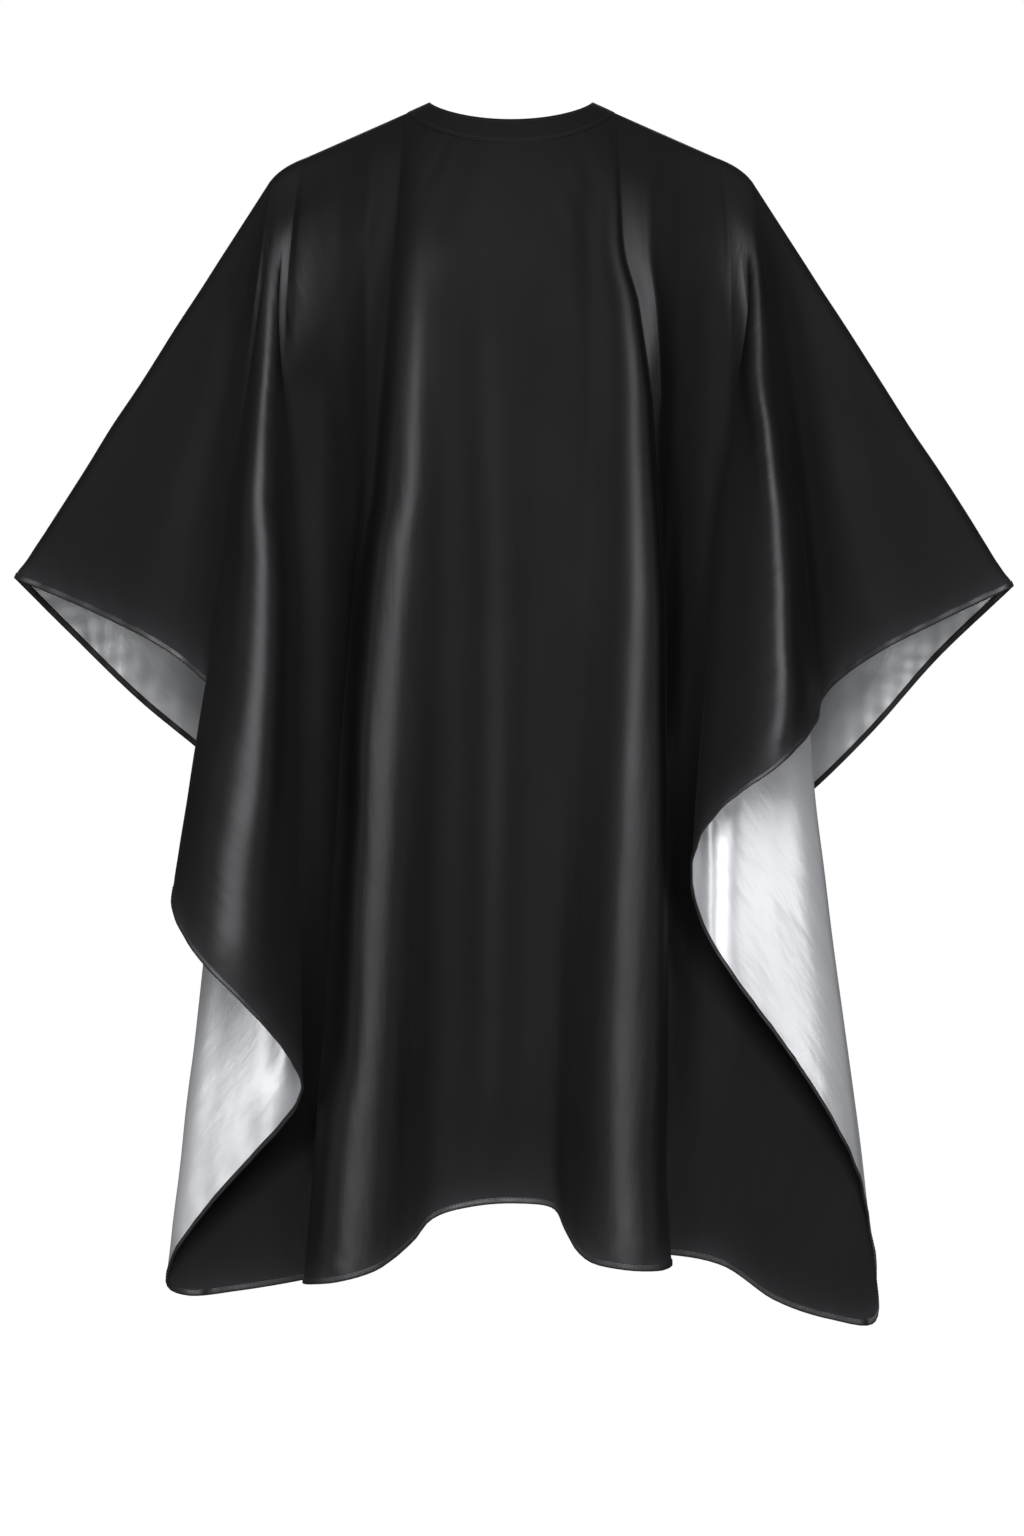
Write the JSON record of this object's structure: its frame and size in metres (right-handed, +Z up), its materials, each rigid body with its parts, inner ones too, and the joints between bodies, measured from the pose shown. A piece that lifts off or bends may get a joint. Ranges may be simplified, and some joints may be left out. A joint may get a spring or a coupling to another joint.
{
  "type": "barber cape",
  "caption": "Draped rectangular cape with a black satin face and a silver inner face, turned hems, back slit, stand neckband and a snapped closure tab at the nape.",
  "frame": {"origin": "centre of the neck opening, level with the collar's edge between front and sides", "axes": "+Z up, the wearer faces -Y, +X to the right of someone who faces the wearer"},
  "size_m": [0.9986, 0.4219, 1.2162],
  "materials": {
    "black_satin": "smooth black polyester satin with a soft broad sheen",
    "silver_satin": "silver metallic satin, bright and soft",
    "black_tape": "narrow turned hem of the black cloth, stitched",
    "interlining_felt": "matt non-woven stiffener inside the band",
    "black_resin": "moulded black resin snaps with a soft gloss"
  },
  "bodies": {
    "cape": {"back_hem": "black_tape", "front_hem": "black_tape", "left_side_hem": "black_tape", "neckband_inner": "black_satin", "neckband_interlining": "interlining_felt", "neckband_outer": "black_satin", "outer_cloth": "black_satin", "right_side_hem": "black_tape", "silver_lining": "silver_satin", "slit_bar_tack": "black_tape", "slit_facing_left": "black_tape", "slit_facing_right": "black_tape", "snap_post_1": "black_resin", "snap_post_2": "black_resin", "snap_post_3": "black_resin", "snap_post_4": "black_resin", "snap_stud_1": "black_resin", "snap_stud_2": "black_resin", "snap_stud_3": "black_resin", "snap_stud_4": "black_resin"},
    "closure_tab": {"snap_cap_1": "black_resin", "snap_cap_2": "black_resin", "snap_socket_1": "black_resin", "snap_socket_2": "black_resin", "tab_inner": "black_satin", "tab_interlining": "interlining_felt", "tab_outer": "black_satin"}
  },
  "joints": [
    {"name": "closure_tab_peel", "type": "hinge", "parent": "cape", "child": "closure_tab", "pos_m": [0.00757, 0.0706, -0.0203], "axis": [0.0625, 0.5536, -0.8304], "range_deg": [0, 90]}
  ]
}
